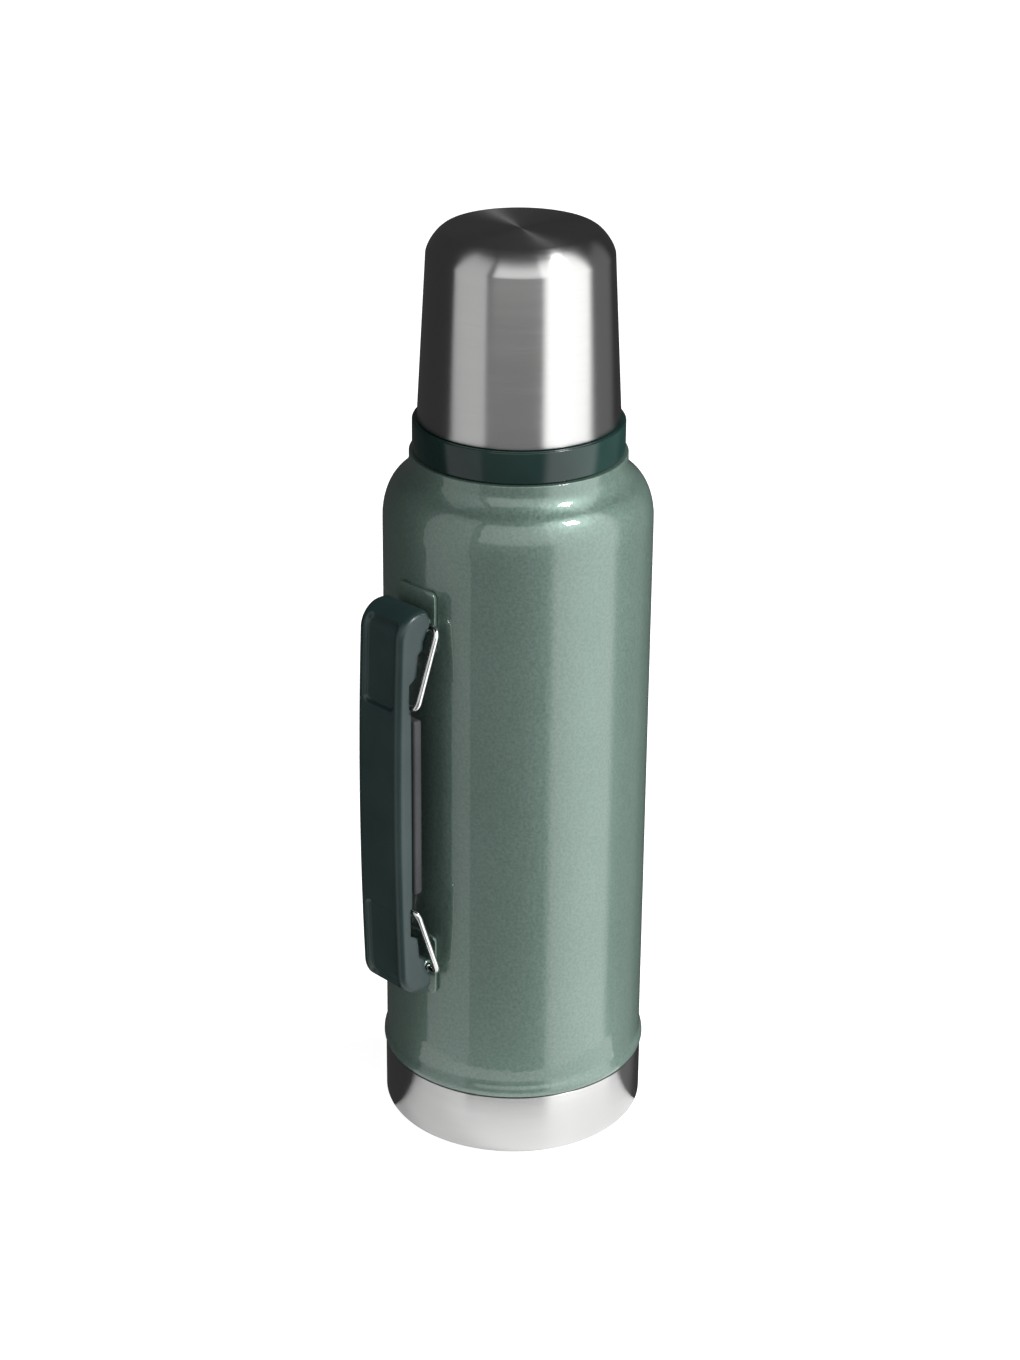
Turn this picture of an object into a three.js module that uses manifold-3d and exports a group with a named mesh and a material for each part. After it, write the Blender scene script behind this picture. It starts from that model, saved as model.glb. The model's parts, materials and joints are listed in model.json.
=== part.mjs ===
// Vacuum flask: double-walled steel bottle, screw stopper, screw-on cup and a fold-away carry handle.
// Millimetres, +Z up. Origin at the centre of the underside; the handle is on the -X side.
import * as THREE from 'three';
import { mergeVertices } from 'three/addons/utils/BufferGeometryUtils.js';
import Module from 'manifold-3d';

const wasm = await Module();
wasm.setup();

// ---- driving dimensions -------------------------------------------------------------------------
const GAP = 0.3; // air between two pieces that touch
const ROUND_SEGMENTS = 32;

const BODY_RADIUS = 51.25;
const BODY_WALL = 0.5;
const SKIRT_RADIUS = 50.7; // outer shell where it hides in the base cap
const SKIRT_BOTTOM = 4;
const BEAD_RADIUS = 52.45;
const BEAD_HEIGHT = 28.3;
const BEAD_TOP = 32.4;
const SHOULDER_START = 252;
const SHOULDER_RISE = 17.6;
const NECK_RADIUS = 41.2;
const NECK_TOP = 278.35;
const NECK_CURVE = 273.4; // centre of the curve from the shoulder up into the neck

const CAP_RADIUS = 51.7;
const CAP_HEIGHT = 25.9;
const CAP_WALL = 0.6;
const CAP_FILLET = 3;

const LIP_TOP = 300;
const MOUTH_RADIUS = 27.4;
const MOUTH_WALL = 0.6;
const VESSEL_RADIUS = 46.5;
const VESSEL_WALL = 0.4;
const VESSEL_FLOOR = 14;
const VESSEL_SHOULDER = 246;
const VESSEL_SHOULDER_RISE = 21;
const FOIL_BOTTOM = 30;
const FOIL_TOP = 240;

const COLLAR_RADIUS = 33.2;
const THREAD_PITCH = 5;
const THREAD_WIDTH = 2.2;
const THREAD_HEIGHT = 1;
const THREAD_SINK = 0.4; // how deep a ridge is rooted in its wall
const THREAD_TURNS = 1.5;
const THREAD_STEPS_PER_TURN = 16;

const STOPPER_RADIUS = 24.8;
const STOPPER_BOTTOM = 268;
const STOPPER_FLANGE = 302.3;
const STOPPER_TOP = 310;
const STOPPER_WALL = 1.8;
const FLANGE_RADIUS = 29.3;
const FLANGE_TOP = 304.4;
const KNOB_RADIUS = 25.3;
const KNOB_LOBES = 16;
const KNOB_LOBE_HEIGHT = 0.9;
const KNOB_DISH = 1.2;
const GASKET_HEIGHT = 1.7;
const GASKET_INSIDE = 25.2;
const GASKET_OUTSIDE = 29.1;

const RING_RADIUS = 40; // rim of the cup
const RING_BOTTOM = NECK_TOP + GAP;
const RING_TOP = 290.95;
const CUP_RADIUS = 38.2;
const CUP_TOP_RADIUS = 34.8;
const CUP_EDGE_WIDTH = 6.8; // rounding of the cup's top edge, inwards
const CUP_EDGE_HEIGHT = 9;
const CUP_EDGE_FULLNESS = 1.4; // 2 is an ellipse, less is flatter
const CUP_TOP = 363;
const CUP_WALL = 0.5;
const CUP_CEILING = 351.5; // inside of the cup
const CUP_ROOF = 352.7; // outside of the liner
const CUP_BORE = 36;

const HANDLE_MIDDLE = 152.4; // height of the handle's centre
const HANDLE_HALF_LENGTH = 79.8;
const HANDLE_HALF_WIDTH = 12;
const HANDLE_REACH = 72; // outer face, from the flask's axis
const HANDLE_BOW = 1.6; // how far the outer face falls back near its ends
const HANDLE_FLAT = 69.5; // half the length of the outer face
const HANDLE_END = 60.5; // where the rounded ends turn in
const HANDLE_EAR = 56.2; // nearest that the handle comes to the axis
const HANDLE_RAIL = 65.4; // inner edge of the side walls
const HANDLE_WALL = 2.2;
const HANDLE_CORNER = 2.8;
const HANDLE_END_CORNER = 6;
const PANEL_HALF_WIDTH = 8.2;
const PANEL_DEPTH = 1.6;
const PANEL_START = 42; // from the handle's middle

const GRIP_REACH = 59.3; // the face that the fingers close on
const GRIP_THICKNESS = 4.2;
const GRIP_HALF_LENGTH = 36.5;
const GRIP_HALF_WIDTH = 11.4;
const CARRIER_INNER = 61.1; // bar behind the grip that holds the wire ends
const CARRIER_OUTER = 67.3;
const CARRIER_HALF_WIDTH = 9.4;
const CARRIER_HALF_LENGTH = 57;
const SCREW_OFFSET = 24; // above and below the handle's middle
const SCREW_SEAT = 61.4;
const SCREW_END = 66.4;
const SCREW_HEAD_RADIUS = 2.5;
const SCREW_SHANK_RADIUS = 1.2;

const BRACKET_HALF_WIDTH = 10;
const BRACKET_HALF_HEIGHT = 12.6;
const BRACKET_CORNER = 2.6;
const BRACKET_THICKNESS = 1.5;
const BARREL_RADIUS = 2.8;
const BARREL_HALF_LENGTH = 8.4;
const PIVOT_REACH = 54;
const PIVOT_OFFSET = 72; // above and below the handle's middle
const WIRE_RADIUS = 1.2;
const WIRE_HALF_SPAN = 14;
const WIRE_END_REACH = 64.4;
const WIRE_END_OFFSET = 42.8;
const WIRE_END_DEPTH = 6.6; // where the wire stops inside the handle
const WIRE_BEND = 3;
const SLOT_INNER = 62.5;
const SLOT_OUTER = 66.3;
const SLOT_START = 41;
const SLOT_END = 54.6;
const SLOT_BRIDGE = 5.8; // half of the web left between the slots of one end

const BEYOND = 20; // how far a cutting tool runs past what it cuts

// ---- geometry helpers ---------------------------------------------------------------------------
const point = (x, y) => new THREE.Vector2(x, y);

function arc(centreX, centreY, radiusX, radiusY, fromDegrees, toDegrees, steps) {
  return Array.from({ length: steps + 1 }, (_, i) => {
    const angle = THREE.MathUtils.degToRad(fromDegrees + ((toDegrees - fromDegrees) * i) / steps);
    return point(centreX + radiusX * Math.cos(angle), centreY + radiusY * Math.sin(angle));
  });
}

// A turned piece: its profile of (radius, height) runs anticlockwise and is closed here.
function turned(profile, segments = ROUND_SEGMENTS) {
  const onAxis = profile[0].x === 0;
  const points = onAxis ? profile : [...profile, profile[0].clone()];
  return new THREE.LatheGeometry(points, segments).rotateX(Math.PI / 2);
}

function block(low, high) {
  const size = new THREE.Vector3().subVectors(high, low);
  const centre = new THREE.Vector3().addVectors(low, high).multiplyScalar(0.5);
  return new THREE.BoxGeometry(size.x, size.y, size.z).translate(centre.x, centre.y, centre.z);
}

function rodAlongX(radius, fromX, toX, z, segments = 12) {
  const rod = new THREE.CylinderGeometry(radius, radius, Math.abs(toX - fromX), segments);
  return rod.rotateZ(Math.PI / 2).translate((fromX + toX) / 2, 0, z);
}

function rodAlongY(radius, halfLength, x, z, segments = 16) {
  return new THREE.CylinderGeometry(radius, radius, 2 * halfLength, segments).translate(x, 0, z);
}

function extruded(outline, depth) {
  return new THREE.ExtrudeGeometry(new THREE.Shape(outline), { depth, bevelEnabled: false });
}

// An outline of (x, z) swept along Y, to the same distance on both sides.
function sweptAcross(outline, halfWidth) {
  return extruded(outline, 2 * halfWidth).translate(0, 0, -halfWidth).rotateX(Math.PI / 2);
}

// An outline of (y, z) swept along X.
function sweptOutward(outline, fromX, toX) {
  const turn = new THREE.Matrix4().makeBasis(
    new THREE.Vector3(0, 1, 0),
    new THREE.Vector3(0, 0, 1),
    new THREE.Vector3(1, 0, 0)
  );
  return extruded(outline, toX - fromX).applyMatrix4(turn).translate(fromX, 0, 0);
}

function roundedRectangle(halfWidth, halfHeight, corner, steps) {
  const x = halfWidth - corner;
  const y = halfHeight - corner;
  return [
    ...arc(x, y, corner, corner, 0, 90, steps),
    ...arc(-x, y, corner, corner, 90, 180, steps),
    ...arc(-x, -y, corner, corner, 180, 270, steps),
    ...arc(x, -y, corner, corner, 270, 360, steps),
  ];
}

const raised = (outline, height) => outline.map((p) => point(p.x, p.y + height));

// One helical ridge, standing out of a wall (crest > root) or into a bore (crest < root).
function ridge(root, crest, start, turns = THREAD_TURNS) {
  const steps = Math.round(turns * THREAD_STEPS_PER_TURN);
  const bar = new THREE.BoxGeometry(1, 1, 1, 1, 1, steps);
  const side = crest > root ? -1 : 1;
  const place = bar.getAttribute('position');
  for (let i = 0; i < place.count; i += 1) {
    const rise = place.getX(i) + 0.5;
    const along = (place.getZ(i) + 0.5) * turns;
    const across = side * place.getY(i) * THREAD_WIDTH * (1 - rise / 2);
    const radius = root + rise * (crest - root);
    const angle = 2 * Math.PI * along;
    const z = start + THREAD_PITCH * along + across;
    place.setXYZ(i, radius * Math.cos(angle), radius * Math.sin(angle), z);
  }
  return bar;
}

function toSolid(geometry) {
  const bare = geometry.clone();
  bare.deleteAttribute('normal');
  bare.deleteAttribute('uv');
  const merged = mergeVertices(bare);
  const vertProperties = new Float32Array(merged.getAttribute('position').array);
  const triVerts = new Uint32Array(merged.getIndex().array);
  return new wasm.Manifold(new wasm.Mesh({ numProp: 3, vertProperties, triVerts }));
}

function toGeometry(solid) {
  const mesh = solid.getMesh();
  const places = new Float32Array(mesh.vertProperties);
  const corners = new Uint32Array(mesh.triVerts);
  const geometry = new THREE.BufferGeometry();
  geometry.setAttribute('position', new THREE.BufferAttribute(places, 3));
  geometry.setIndex(new THREE.BufferAttribute(corners, 1));
  geometry.computeVertexNormals();
  return geometry;
}

const joined = (...geometries) => toGeometry(geometries.map(toSolid).reduce((a, b) => a.add(b)));
const cut = (...geometries) => toGeometry(geometries.map(toSolid).reduce((a, b) => a.subtract(b)));
const shared = (...geometries) => toGeometry(geometries.map(toSolid).reduce((a, b) => a.intersect(b)));

// ---- materials ----------------------------------------------------------------------------------
function finish(color, roughness, metalness) {
  return () => new THREE.MeshStandardMaterial({ color, roughness, metalness });
}

const hammeredPaint = finish(0x66786f, 0.32, 0.1);
const brushedSteel = finish(0xa9abab, 0.3, 1);
const innerSteel = finish(0xb8babb, 0.25, 1);
const wireSteel = finish(0xd8dada, 0.18, 1);
const greenPlastic = finish(0x2b3d3a, 0.35, 0);
const greyGrip = finish(0x35383a, 0.6, 0);
const darkPlastic = finish(0x26332f, 0.45, 0);
const sealRubber = finish(0x9a9d9a, 0.8, 0);
const foam = finish(0xd9d4c4, 0.95, 0);
const foil = finish(0xb07a55, 0.35, 1);
const getterMetal = finish(0x77756f, 0.6, 0.8);

const flask = new THREE.Group();

function add(name, geometry, material, parent = flask) {
  const mesh = new THREE.Mesh(geometry, material());
  mesh.name = name;
  parent.add(mesh);
  return mesh;
}

// ---- double-walled bottle -----------------------------------------------------------------------
function outerShell() {
  const neckInside = NECK_RADIUS - BODY_WALL;
  const tubeInside = MOUTH_RADIUS + MOUTH_WALL + GAP;
  const tubeOutside = tubeInside + BODY_WALL;
  const shoulderWidth = BODY_RADIUS - NECK_RADIUS;
  const rise = SHOULDER_RISE - BODY_WALL;
  return turned([
    point(SKIRT_RADIUS, SKIRT_BOTTOM),
    point(SKIRT_RADIUS, CAP_HEIGHT + GAP),
    ...arc(BEAD_RADIUS - 1.2, BEAD_HEIGHT, 1.2, 1.9, -60, 30, 3),
    point(BODY_RADIUS, BEAD_TOP),
    ...arc(NECK_RADIUS, SHOULDER_START, shoulderWidth, SHOULDER_RISE, 0, 66, 5),
    ...arc(NECK_RADIUS + 3.2, NECK_CURVE, 3.2, 4, 215, 180, 2),
    point(NECK_RADIUS, NECK_TOP),
    point(tubeOutside, NECK_TOP),
    point(tubeOutside, LIP_TOP),
    point(tubeInside, LIP_TOP),
    point(tubeInside, NECK_TOP - BODY_WALL),
    point(neckInside, NECK_TOP - BODY_WALL),
    point(neckInside, 270.6),
    ...arc(NECK_RADIUS, SHOULDER_START, shoulderWidth - BODY_WALL, rise, 62, 0, 3),
    point(BODY_RADIUS - BODY_WALL, BEAD_TOP),
    point(SKIRT_RADIUS - BODY_WALL, CAP_HEIGHT + GAP),
    point(SKIRT_RADIUS - BODY_WALL, SKIRT_BOTTOM),
  ]);
}

function innerVessel() {
  const inside = VESSEL_RADIUS - VESSEL_WALL;
  const mouthOutside = MOUTH_RADIUS + MOUTH_WALL;
  const outerWidth = VESSEL_RADIUS - mouthOutside;
  const innerWidth = inside - MOUTH_RADIUS;
  const innerRise = VESSEL_SHOULDER_RISE - VESSEL_WALL;
  const wall = turned([
    point(VESSEL_RADIUS, VESSEL_FLOOR),
    ...arc(mouthOutside, VESSEL_SHOULDER, outerWidth, VESSEL_SHOULDER_RISE, 0, 90, 5),
    point(mouthOutside, LIP_TOP),
    point(MOUTH_RADIUS, LIP_TOP),
    ...arc(MOUTH_RADIUS, VESSEL_SHOULDER, innerWidth, innerRise, 90, 0, 5),
    point(inside, VESSEL_FLOOR),
  ]);
  return joined(wall, ridge(MOUTH_RADIUS + THREAD_SINK, MOUTH_RADIUS - 0.7, 283));
}

function innerBottom() {
  const radius = VESSEL_RADIUS - VESSEL_WALL - GAP;
  return turned([
    point(0, VESSEL_FLOOR + 3),
    point(radius - 8, VESSEL_FLOOR),
    point(radius, VESSEL_FLOOR),
    point(radius, VESSEL_FLOOR + 2),
    point(radius - 8, VESSEL_FLOOR + 0.8),
    point(0, VESSEL_FLOOR + 3.8),
  ]);
}

function outerBottom() {
  const radius = SKIRT_RADIUS - BODY_WALL - GAP;
  return turned([
    point(2.6, 6.2),
    point(radius - 12, SKIRT_BOTTOM),
    point(radius, SKIRT_BOTTOM),
    point(radius, 7),
    point(radius - 1, 7),
    point(radius - 12, 4.8),
    point(2.6, 7),
  ]);
}

function baseCap() {
  const inside = CAP_RADIUS - CAP_WALL;
  return turned([
    point(0, 0),
    ...arc(CAP_RADIUS - CAP_FILLET, CAP_FILLET, CAP_FILLET, CAP_FILLET, -90, 0, 3),
    point(CAP_RADIUS, CAP_HEIGHT),
    point(inside, CAP_HEIGHT),
    point(inside, CAP_FILLET),
    point(inside - CAP_FILLET + 1, CAP_WALL + 0.4),
    point(0, CAP_WALL),
  ]);
}

// Headed plug that seals the hole the air was pumped out through.
function evacuationPlug() {
  const headRadius = 5;
  const headTop = 5.7;
  const stemRadius = 2.3;
  const outline = [
    point(0, 4.6),
    point(headRadius, 4.6),
    point(headRadius, headTop),
    point(stemRadius, headTop),
    point(stemRadius, 8),
    point(0, 8),
  ];
  return turned(outline, 16);
}

// Gas-absorbing pellet held under the inner bottom.
function getterPellet() {
  const bottom = VESSEL_FLOOR - 0.8;
  const top = VESSEL_FLOOR + 2.1;
  const radius = 7;
  return turned([point(0, bottom), point(radius, bottom), point(radius, top), point(0, top)], 16);
}

function neckCollar() {
  const inside = MOUTH_RADIUS + MOUTH_WALL + GAP + BODY_WALL + GAP;
  const bottom = NECK_TOP + GAP;
  const sleeve = turned([
    point(inside, bottom),
    point(COLLAR_RADIUS, bottom),
    point(COLLAR_RADIUS, LIP_TOP - 1.5),
    point(COLLAR_RADIUS - 1, LIP_TOP - 0.5),
    point(inside, LIP_TOP - 0.5),
  ]);
  return joined(sleeve, ridge(COLLAR_RADIUS - THREAD_SINK, COLLAR_RADIUS + THREAD_HEIGHT, 283.5));
}

function radiationShield() {
  const inside = VESSEL_RADIUS + 0.8;
  const outside = inside + 0.1;
  return turned([
    point(inside, FOIL_BOTTOM),
    point(outside, FOIL_BOTTOM),
    point(outside, FOIL_TOP),
    point(inside, FOIL_TOP),
  ]);
}

// ---- stopper ------------------------------------------------------------------------------------
function stopperBody() {
  const inside = STOPPER_RADIUS - STOPPER_WALL;
  const plug = turned([
    point(0, STOPPER_BOTTOM),
    point(STOPPER_RADIUS - 2, STOPPER_BOTTOM),
    point(STOPPER_RADIUS, STOPPER_BOTTOM + 2),
    point(STOPPER_RADIUS, STOPPER_FLANGE),
    point(FLANGE_RADIUS, STOPPER_FLANGE),
    point(FLANGE_RADIUS, FLANGE_TOP),
    point(inside, FLANGE_TOP),
    point(inside, STOPPER_BOTTOM + STOPPER_WALL),
    point(0, STOPPER_BOTTOM + STOPPER_WALL),
  ]);
  return joined(plug, ridge(STOPPER_RADIUS - THREAD_SINK, STOPPER_RADIUS + THREAD_HEIGHT, 280.5));
}

function stopperCore() {
  const radius = STOPPER_RADIUS - STOPPER_WALL - GAP;
  const bottom = STOPPER_BOTTOM + STOPPER_WALL + GAP;
  return turned([
    point(0, bottom),
    point(radius, bottom),
    point(radius, STOPPER_FLANGE),
    point(0, STOPPER_FLANGE),
  ]);
}

function stopperCap() {
  const bottom = FLANGE_TOP + GAP;
  const sides = 3 * KNOB_LOBES;
  const outline = Array.from({ length: sides }, (_, i) => {
    const angle = (2 * Math.PI * i) / sides;
    const radius = KNOB_RADIUS + KNOB_LOBE_HEIGHT * Math.cos(KNOB_LOBES * angle);
    return point(radius * Math.cos(angle), radius * Math.sin(angle));
  });
  const knob = extruded(outline, STOPPER_TOP - bottom).translate(0, 0, bottom);
  const dish = turned([
    point(0, STOPPER_TOP - KNOB_DISH),
    point(21, STOPPER_TOP - KNOB_DISH),
    point(22, STOPPER_TOP + 1),
    point(0, STOPPER_TOP + 1),
  ]);
  return cut(knob, dish);
}

function stopperGasket() {
  const bottom = LIP_TOP + GAP;
  const top = bottom + GASKET_HEIGHT;
  return turned([
    point(GASKET_INSIDE, bottom),
    point(GASKET_OUTSIDE, bottom),
    point(GASKET_OUTSIDE, top),
    point(GASKET_INSIDE, top),
  ]);
}

// ---- cup ----------------------------------------------------------------------------------------
const coneRadius = (z) => {
  const coneTop = CUP_TOP - CUP_EDGE_HEIGHT;
  return CUP_RADIUS + ((CUP_TOP_RADIUS - CUP_RADIUS) * (z - RING_TOP)) / (coneTop - RING_TOP);
};

function crown(inset, steps) {
  const width = CUP_EDGE_WIDTH - inset;
  const height = CUP_EDGE_HEIGHT - inset;
  return Array.from({ length: steps + 1 }, (_, i) => {
    const angle = (Math.PI / 2) * (i / steps);
    const inward = width * Math.cos(angle) ** (2 / CUP_EDGE_FULLNESS);
    const upward = height * Math.sin(angle) ** (2 / CUP_EDGE_FULLNESS);
    return point(CUP_TOP_RADIUS - CUP_EDGE_WIDTH + inward, CUP_TOP - CUP_EDGE_HEIGHT + upward);
  });
}

function cupShell() {
  const bottom = RING_TOP + GAP;
  return turned([
    point(coneRadius(bottom), bottom),
    ...crown(0, 5),
    point(0, CUP_TOP),
    point(0, CUP_TOP - CUP_WALL),
    ...crown(CUP_WALL, 4).reverse(),
    point(coneRadius(bottom) - CUP_WALL, bottom),
  ]);
}

function cupLiner() {
  const outside = (z) => coneRadius(z) - CUP_WALL - GAP;
  const chamfer = 0.8;
  const wall = turned([
    point(CUP_BORE, RING_BOTTOM),
    point(RING_RADIUS - chamfer, RING_BOTTOM),
    point(RING_RADIUS, RING_BOTTOM + chamfer),
    point(RING_RADIUS, RING_TOP - chamfer),
    point(RING_RADIUS - chamfer, RING_TOP),
    point(outside(RING_TOP + GAP), RING_TOP),
    point(outside(CUP_ROOF - 2), CUP_ROOF - 2),
    point(outside(CUP_ROOF) - 2, CUP_ROOF),
    point(0, CUP_ROOF),
    point(0, CUP_CEILING),
    point(outside(CUP_ROOF) - 3, CUP_CEILING),
    point(outside(CUP_ROOF) - 1.6, CUP_CEILING - 2),
    point(CUP_BORE - 0.6, 298),
    point(CUP_BORE, 296),
  ]);
  return joined(wall, ridge(CUP_BORE + THREAD_SINK, CUP_BORE - 0.8, 281));
}

// Foam disc between the cup's steel top and its liner.
function cupInsulation() {
  const bottom = CUP_ROOF + GAP;
  const top = CUP_TOP - 1.2;
  return turned([point(0, bottom), point(29, bottom), point(27, top), point(0, top)]);
}

// ---- handle -------------------------------------------------------------------------------------
// Its outlines give (distance from the flask's axis, height above the handle's middle).
const faceReach = (height) => HANDLE_REACH - HANDLE_BOW * (height / HANDLE_FLAT) ** 2;

function outerCurve(inset, start) {
  const face = [0, 0.35, 0.7, 1].map((t) => THREE.MathUtils.lerp(start, HANDLE_FLAT, t));
  const endWidth = faceReach(HANDLE_FLAT) - HANDLE_END - inset;
  const endHeight = HANDLE_HALF_LENGTH - HANDLE_FLAT - inset;
  return [
    ...face.slice(0, 3).map((height) => point(faceReach(height) - inset, height)),
    ...arc(HANDLE_END, HANDLE_FLAT, endWidth, endHeight, 0, 90, 4),
  ];
}

const mirrored = (outline) => [...outline, ...outline.map((p) => point(p.x, -p.y)).reverse()];
const onHandleSide = (outline) => outline.map((p) => point(-p.x, p.y + HANDLE_MIDDLE));

// Seen from the side: the outer face, and the inner edge that steps out to pass the wires.
function handleSideOutline() {
  return mirrored([
    point(HANDLE_RAIL, SLOT_START - 0.1),
    point(SLOT_OUTER, SLOT_START - 0.1),
    point(SLOT_OUTER, SLOT_END),
    point(62.8, SLOT_END),
    point(62, 63.5),
    point(59.6, 65),
    point(59.6, 69.5),
    point(HANDLE_EAR, 73.5),
    point(HANDLE_EAR, HANDLE_HALF_LENGTH - 1.5),
    point(HANDLE_EAR + 1.2, HANDLE_HALF_LENGTH),
    ...outerCurve(0, 0).reverse().slice(0, -1),
  ]);
}

// The side outline made wide, with its long edges and its four corners rounded.
function handleBlank() {
  const flat = HANDLE_HALF_WIDTH - HANDLE_CORNER;
  const nearAxis = -HANDLE_EAR + BEYOND;
  const edge = -HANDLE_REACH + HANDLE_CORNER;
  const section = [
    point(nearAxis, -HANDLE_HALF_WIDTH),
    point(nearAxis, HANDLE_HALF_WIDTH),
    ...arc(edge, flat, HANDLE_CORNER, HANDLE_CORNER, 90, 180, 3),
    ...arc(edge, -flat, HANDLE_CORNER, HANDLE_CORNER, 180, 270, 3),
  ];
  const front = roundedRectangle(HANDLE_HALF_WIDTH, HANDLE_HALF_LENGTH, HANDLE_END_CORNER, 3);
  const length = 2 * (HANDLE_HALF_LENGTH + BEYOND);
  return shared(
    sweptAcross(onHandleSide(handleSideOutline()), HANDLE_HALF_WIDTH),
    extruded(section, length).translate(0, 0, HANDLE_MIDDLE - length / 2),
    sweptOutward(raised(front, HANDLE_MIDDLE), -HANDLE_REACH - BEYOND, nearAxis)
  );
}

function handleShell() {
  const innerReach = PANEL_DEPTH + HANDLE_WALL - 0.6;
  const hollow = mirrored([
    point(HANDLE_EAR - BEYOND, HANDLE_HALF_LENGTH - innerReach),
    ...outerCurve(innerReach, 0).reverse().slice(0, -1),
  ]);
  const panel = [
    ...outerCurve(PANEL_DEPTH, PANEL_START),
    point(HANDLE_END, HANDLE_HALF_LENGTH + BEYOND),
    point(HANDLE_REACH + BEYOND, HANDLE_HALF_LENGTH + BEYOND),
    point(HANDLE_REACH + BEYOND, PANEL_START),
  ];
  const lowerPanel = panel.map((p) => point(p.x, -p.y));
  return cut(
    handleBlank(),
    sweptAcross(onHandleSide(hollow), HANDLE_HALF_WIDTH - HANDLE_WALL),
    sweptAcross(onHandleSide(panel), PANEL_HALF_WIDTH),
    sweptAcross(onHandleSide(lowerPanel), PANEL_HALF_WIDTH)
  );
}

const ascending = (a, b) => [Math.min(a, b), Math.max(a, b)];

// Slot of one wire end: end is 1 for the upper bail, side is 1 for +Y.
function wireSlot(end, side) {
  const [bottom, top] = ascending(HANDLE_MIDDLE + end * SLOT_START, HANDLE_MIDDLE + end * SLOT_END);
  const [left, right] = ascending(side * SLOT_BRIDGE, side * HANDLE_HALF_WIDTH);
  return block(
    new THREE.Vector3(-SLOT_OUTER, left, bottom),
    new THREE.Vector3(-SLOT_INNER, right, top)
  );
}

function handleGrip() {
  const carrier = block(
    new THREE.Vector3(-CARRIER_OUTER, -CARRIER_HALF_WIDTH, HANDLE_MIDDLE - CARRIER_HALF_LENGTH),
    new THREE.Vector3(-CARRIER_INNER, CARRIER_HALF_WIDTH, HANDLE_MIDDLE + CARRIER_HALF_LENGTH)
  );
  const depth = GRIP_THICKNESS / 2;
  const padOutline = roundedRectangle(depth, GRIP_HALF_LENGTH, 1.6, 2).map((p) =>
    point(p.x - GRIP_REACH - depth, p.y + HANDLE_MIDDLE)
  );
  const pad = sweptAcross(padOutline, GRIP_HALF_WIDTH);
  const slots = [-1, 1].flatMap((end) => [wireSlot(end, -1), wireSlot(end, 1)]);
  const holes = [-1, 1].flatMap((end) => {
    const height = HANDLE_MIDDLE + end * SCREW_OFFSET;
    return [
      rodAlongX(SCREW_HEAD_RADIUS + 0.4, -SCREW_SEAT, -GRIP_REACH + BEYOND, height),
      rodAlongX(SCREW_SHANK_RADIUS + 0.4, -SCREW_END - GAP, -GRIP_REACH + BEYOND, height),
    ];
  });
  return cut(joined(carrier, pad), ...slots, ...holes);
}

function handleScrew(end) {
  const height = HANDLE_MIDDLE + end * SCREW_OFFSET;
  const head = rodAlongX(SCREW_HEAD_RADIUS, -SCREW_SEAT + GAP, -SCREW_SEAT + 1.7, height);
  const shank = rodAlongX(SCREW_SHANK_RADIUS, -SCREW_END, -SCREW_SEAT + 1, height);
  return joined(head, shank);
}

// ---- brackets and wire bails ----------------------------------------------------------------------
function bracket(end) {
  const height = HANDLE_MIDDLE + end * PIVOT_OFFSET;
  const inside = BODY_RADIUS + GAP;
  const outside = inside + BRACKET_THICKNESS;
  const outline = roundedRectangle(BRACKET_HALF_WIDTH, BRACKET_HALF_HEIGHT, BRACKET_CORNER, 2);
  const band = turned([
    point(inside, height - BEYOND),
    point(outside, height - BEYOND),
    point(outside, height + BEYOND),
    point(inside, height + BEYOND),
  ]);
  const plate = shared(sweptOutward(raised(outline, height), -outside - BEYOND, -inside + BEYOND), band);
  const web = block(
    new THREE.Vector3(-PIVOT_REACH, -BARREL_HALF_LENGTH, height - BARREL_RADIUS),
    new THREE.Vector3(-BODY_RADIUS, BARREL_HALF_LENGTH, height + BARREL_RADIUS)
  );
  const barrel = rodAlongY(BARREL_RADIUS, BARREL_HALF_LENGTH, -PIVOT_REACH, height);
  const bottle = turned([
    point(0, height - BEYOND),
    point(inside, height - BEYOND),
    point(inside, height + BEYOND),
    point(0, height + BEYOND),
  ]);
  const wireHole = rodAlongY(WIRE_RADIUS + 0.4, HANDLE_HALF_WIDTH, -PIVOT_REACH, height, 12);
  return cut(joined(plate, barrel, web), bottle, wireHole);
}

// A wire path through its corner points, each corner rounded by the bend radius.
function bentWire(corners) {
  const path = new THREE.CurvePath();
  let from = corners[0];
  corners.slice(1, -1).forEach((corner, i) => {
    const before = corner.clone().add(corners[i].clone().sub(corner).setLength(WIRE_BEND));
    const after = corner.clone().add(corners[i + 2].clone().sub(corner).setLength(WIRE_BEND));
    path.add(new THREE.LineCurve3(from, before));
    path.add(new THREE.QuadraticBezierCurve3(before, corner, after));
    from = after;
  });
  path.add(new THREE.LineCurve3(from, corners.at(-1)));
  return path;
}

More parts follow.
